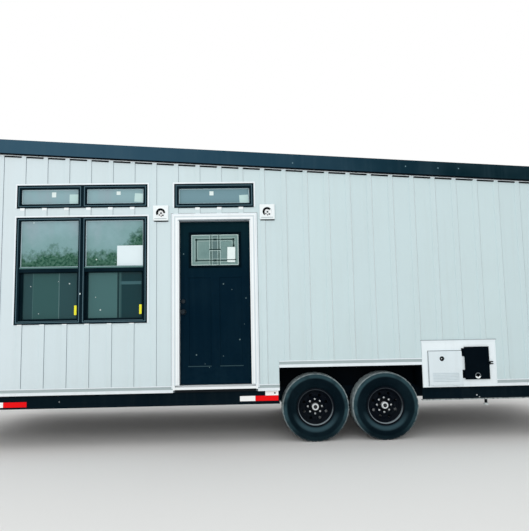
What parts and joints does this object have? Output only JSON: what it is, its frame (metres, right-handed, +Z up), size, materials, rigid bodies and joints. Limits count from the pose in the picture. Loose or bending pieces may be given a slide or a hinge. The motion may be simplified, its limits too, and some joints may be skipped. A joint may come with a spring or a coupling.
{
  "type": "tiny house on wheels",
  "caption": "Small white house with a sloped roof on a trailer, with black windows, an inswing entry door and tandem axles.",
  "frame": {"origin": "on the ground, under the middle of the overall length and width", "axes": "+X along the house from the tongue to the rear, +Y away from the wall with the entry door, +Z up"},
  "size_m": [9.287, 2.59, 3.6342],
  "materials": {
    "siding": "painted vertical siding",
    "roof_timber": "plain timber",
    "roof_metal": "satin dark slate",
    "fascia": "satin dark slate",
    "trim": "satin white",
    "floor": "plain boards",
    "window_frame": "satin black",
    "glass": "clear",
    "door": "satin blue black",
    "door_glass": "textured",
    "hardware": "dark bronze",
    "light_block": "moulded white",
    "utility": "satin white",
    "heater_inside": "plain grey",
    "hatch": "black",
    "chassis": "satin black",
    "spring_steel": "black",
    "drain": "black, with a pale collar",
    "tyre": "matt black",
    "wheel": "gloss black",
    "hub": "plated"
  },
  "bodies": {
    "house": {"axles": "chassis", "coupler": "chassis", "cross_members": "chassis", "door_frame": "trim", "door_hinge_leaves": "hardware", "door_side_wall_beside_door": "siding", "door_side_wall_front": "siding", "door_side_wall_over_door": "siding", "door_side_wall_over_wheels": "siding", "door_side_wall_rear": "siding", "door_sill": "trim", "drain_stub": "drain", "equalisers": "spring_steel", "far_side_wall_front": "siding", "far_side_wall_over_wheels": "siding", "far_side_wall_rear": "siding", "far_window_frames": "window_frame", "far_window_glass": "glass", "fascia_ends": "fascia", "fascia_sides": "fascia", "floor_deck": "floor", "front_wall": "siding", "hatch_box": "hatch", "hatch_hinges": "hatch", "heater_case": "heater_inside", "leaf_springs": "spring_steel", "light_blocks": "light_block", "main_rails": "chassis", "rear_wall": "siding", "roof_deck": "roof_timber", "roof_sheet": "roof_metal", "side_rails": "chassis", "spring_clamps": "spring_steel", "spring_hangers": "spring_steel", "tongue_beam_far": "chassis", "tongue_beam_near": "chassis", "tongue_jack": "chassis", "utility_panel": "utility", "wall_trims": "trim", "wheel_wells": "chassis", "window_frames": "window_frame", "window_glass": "glass"},
    "door": {"entry_door": "door", "door_lite_frame": "door", "door_glass": "door_glass", "door_hardware": "hardware"},
    "heater_door": {"heater_door": "utility"},
    "hatch_lid": {"hatch_lid": "hatch"},
    "wheel_front_near": {"tyre_front_near": "tyre", "wheel_front_near": "wheel", "hub_front_near": "hub"},
    "wheel_front_far": {"tyre_front_far": "tyre", "wheel_front_far": "wheel", "hub_front_far": "hub"},
    "wheel_rear_near": {"tyre_rear_near": "tyre", "wheel_rear_near": "wheel", "hub_rear_near": "hub"},
    "wheel_rear_far": {"tyre_rear_far": "tyre", "wheel_rear_far": "wheel", "hub_rear_far": "hub"}
  },
  "joints": [
    {"name": "door_hinge", "type": "hinge", "parent": "house", "child": "door", "pos_m": [0.349, -1.1315, 0.676], "axis": [0, 0, -1], "range_deg": [0, 95]},
    {"name": "hatch_hinge", "type": "hinge", "parent": "house", "child": "hatch_lid", "pos_m": [2.776, -1.274, 0.682], "axis": [0, 0, -1], "range_deg": [0, 90]},
    {"name": "heater_door_hinge", "type": "hinge", "parent": "house", "child": "heater_door", "pos_m": [2.5545, -1.282, 0.619], "axis": [1, 0, 0], "range_deg": [0, 95]},
    {"name": "wheel_front_near_spin", "type": "hinge", "parent": "house", "child": "wheel_front_near", "pos_m": [1.06, -1.07, 0.388], "axis": [0, 1, 0], "continuous": true},
    {"name": "wheel_front_far_spin", "type": "hinge", "parent": "house", "child": "wheel_front_far", "pos_m": [1.06, 1.07, 0.388], "axis": [0, 1, 0], "continuous": true},
    {"name": "wheel_rear_near_spin", "type": "hinge", "parent": "house", "child": "wheel_rear_near", "pos_m": [1.873, -1.07, 0.388], "axis": [0, 1, 0], "continuous": true},
    {"name": "wheel_rear_far_spin", "type": "hinge", "parent": "house", "child": "wheel_rear_far", "pos_m": [1.873, 1.07, 0.388], "axis": [0, 1, 0], "continuous": true}
  ]
}
